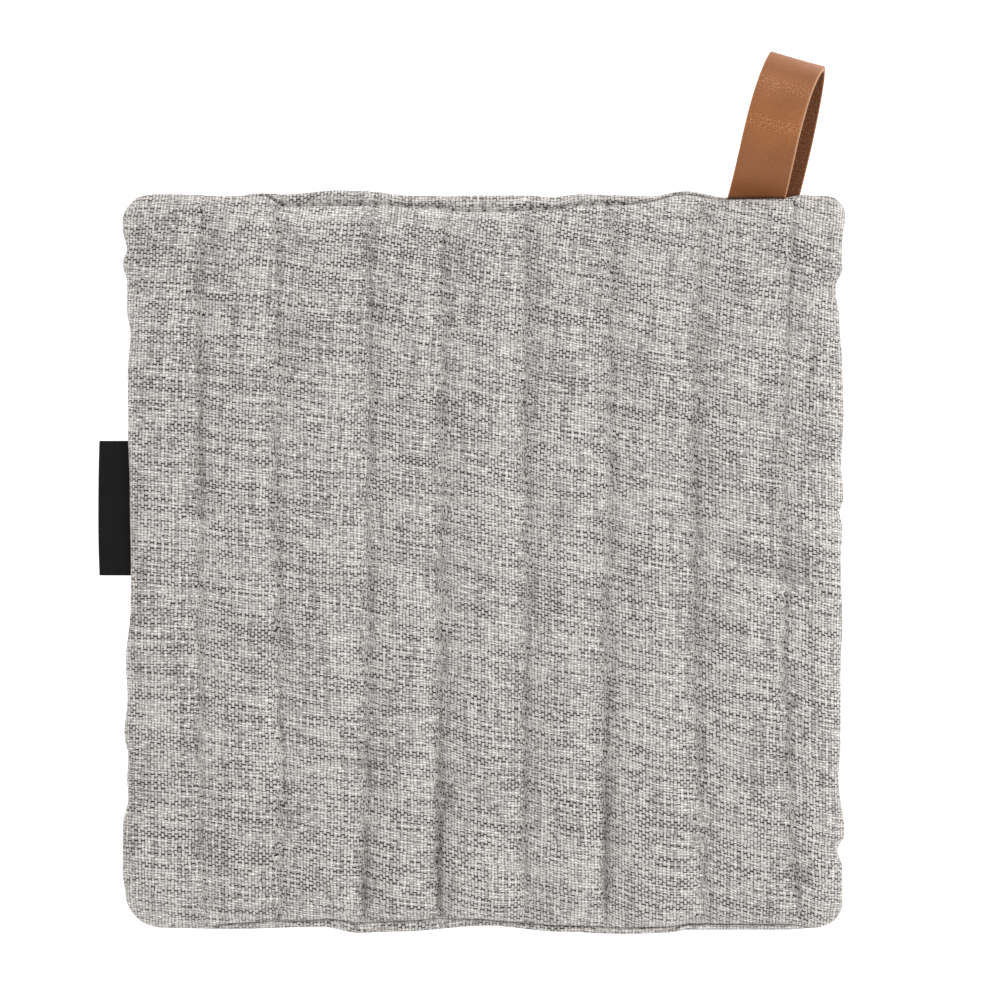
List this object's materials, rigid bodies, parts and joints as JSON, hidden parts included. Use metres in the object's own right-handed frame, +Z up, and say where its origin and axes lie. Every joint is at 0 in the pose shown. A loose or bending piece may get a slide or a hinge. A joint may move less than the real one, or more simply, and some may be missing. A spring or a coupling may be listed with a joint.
{
  "type": "quilted pot holder with a leather hanging loop",
  "caption": "Square wadded pot holder in grey marled cloth with sewn channels, a leather hanging loop at one corner and a small blank side label.",
  "frame": {"origin": "on the flat underside of the quilted pad, at the middle of its square", "axes": "+Z up out of the quilted face, +Y towards the edge that holds the leather loop, +X to the right with the loop near the +X corner"},
  "size_m": [0.2076, 0.2448, 0.0176],
  "materials": {
    "cloth": "light grey marled plain weave, matt",
    "leather": "tan smooth-grain leather, satin outside, suede inside",
    "label_tape": "black satin-woven tape, blank"
  },
  "bodies": {
    "root": {"pad": "cloth", "hanging_loop": "leather", "side_label": "label_tape"}
  },
  "joints": []
}
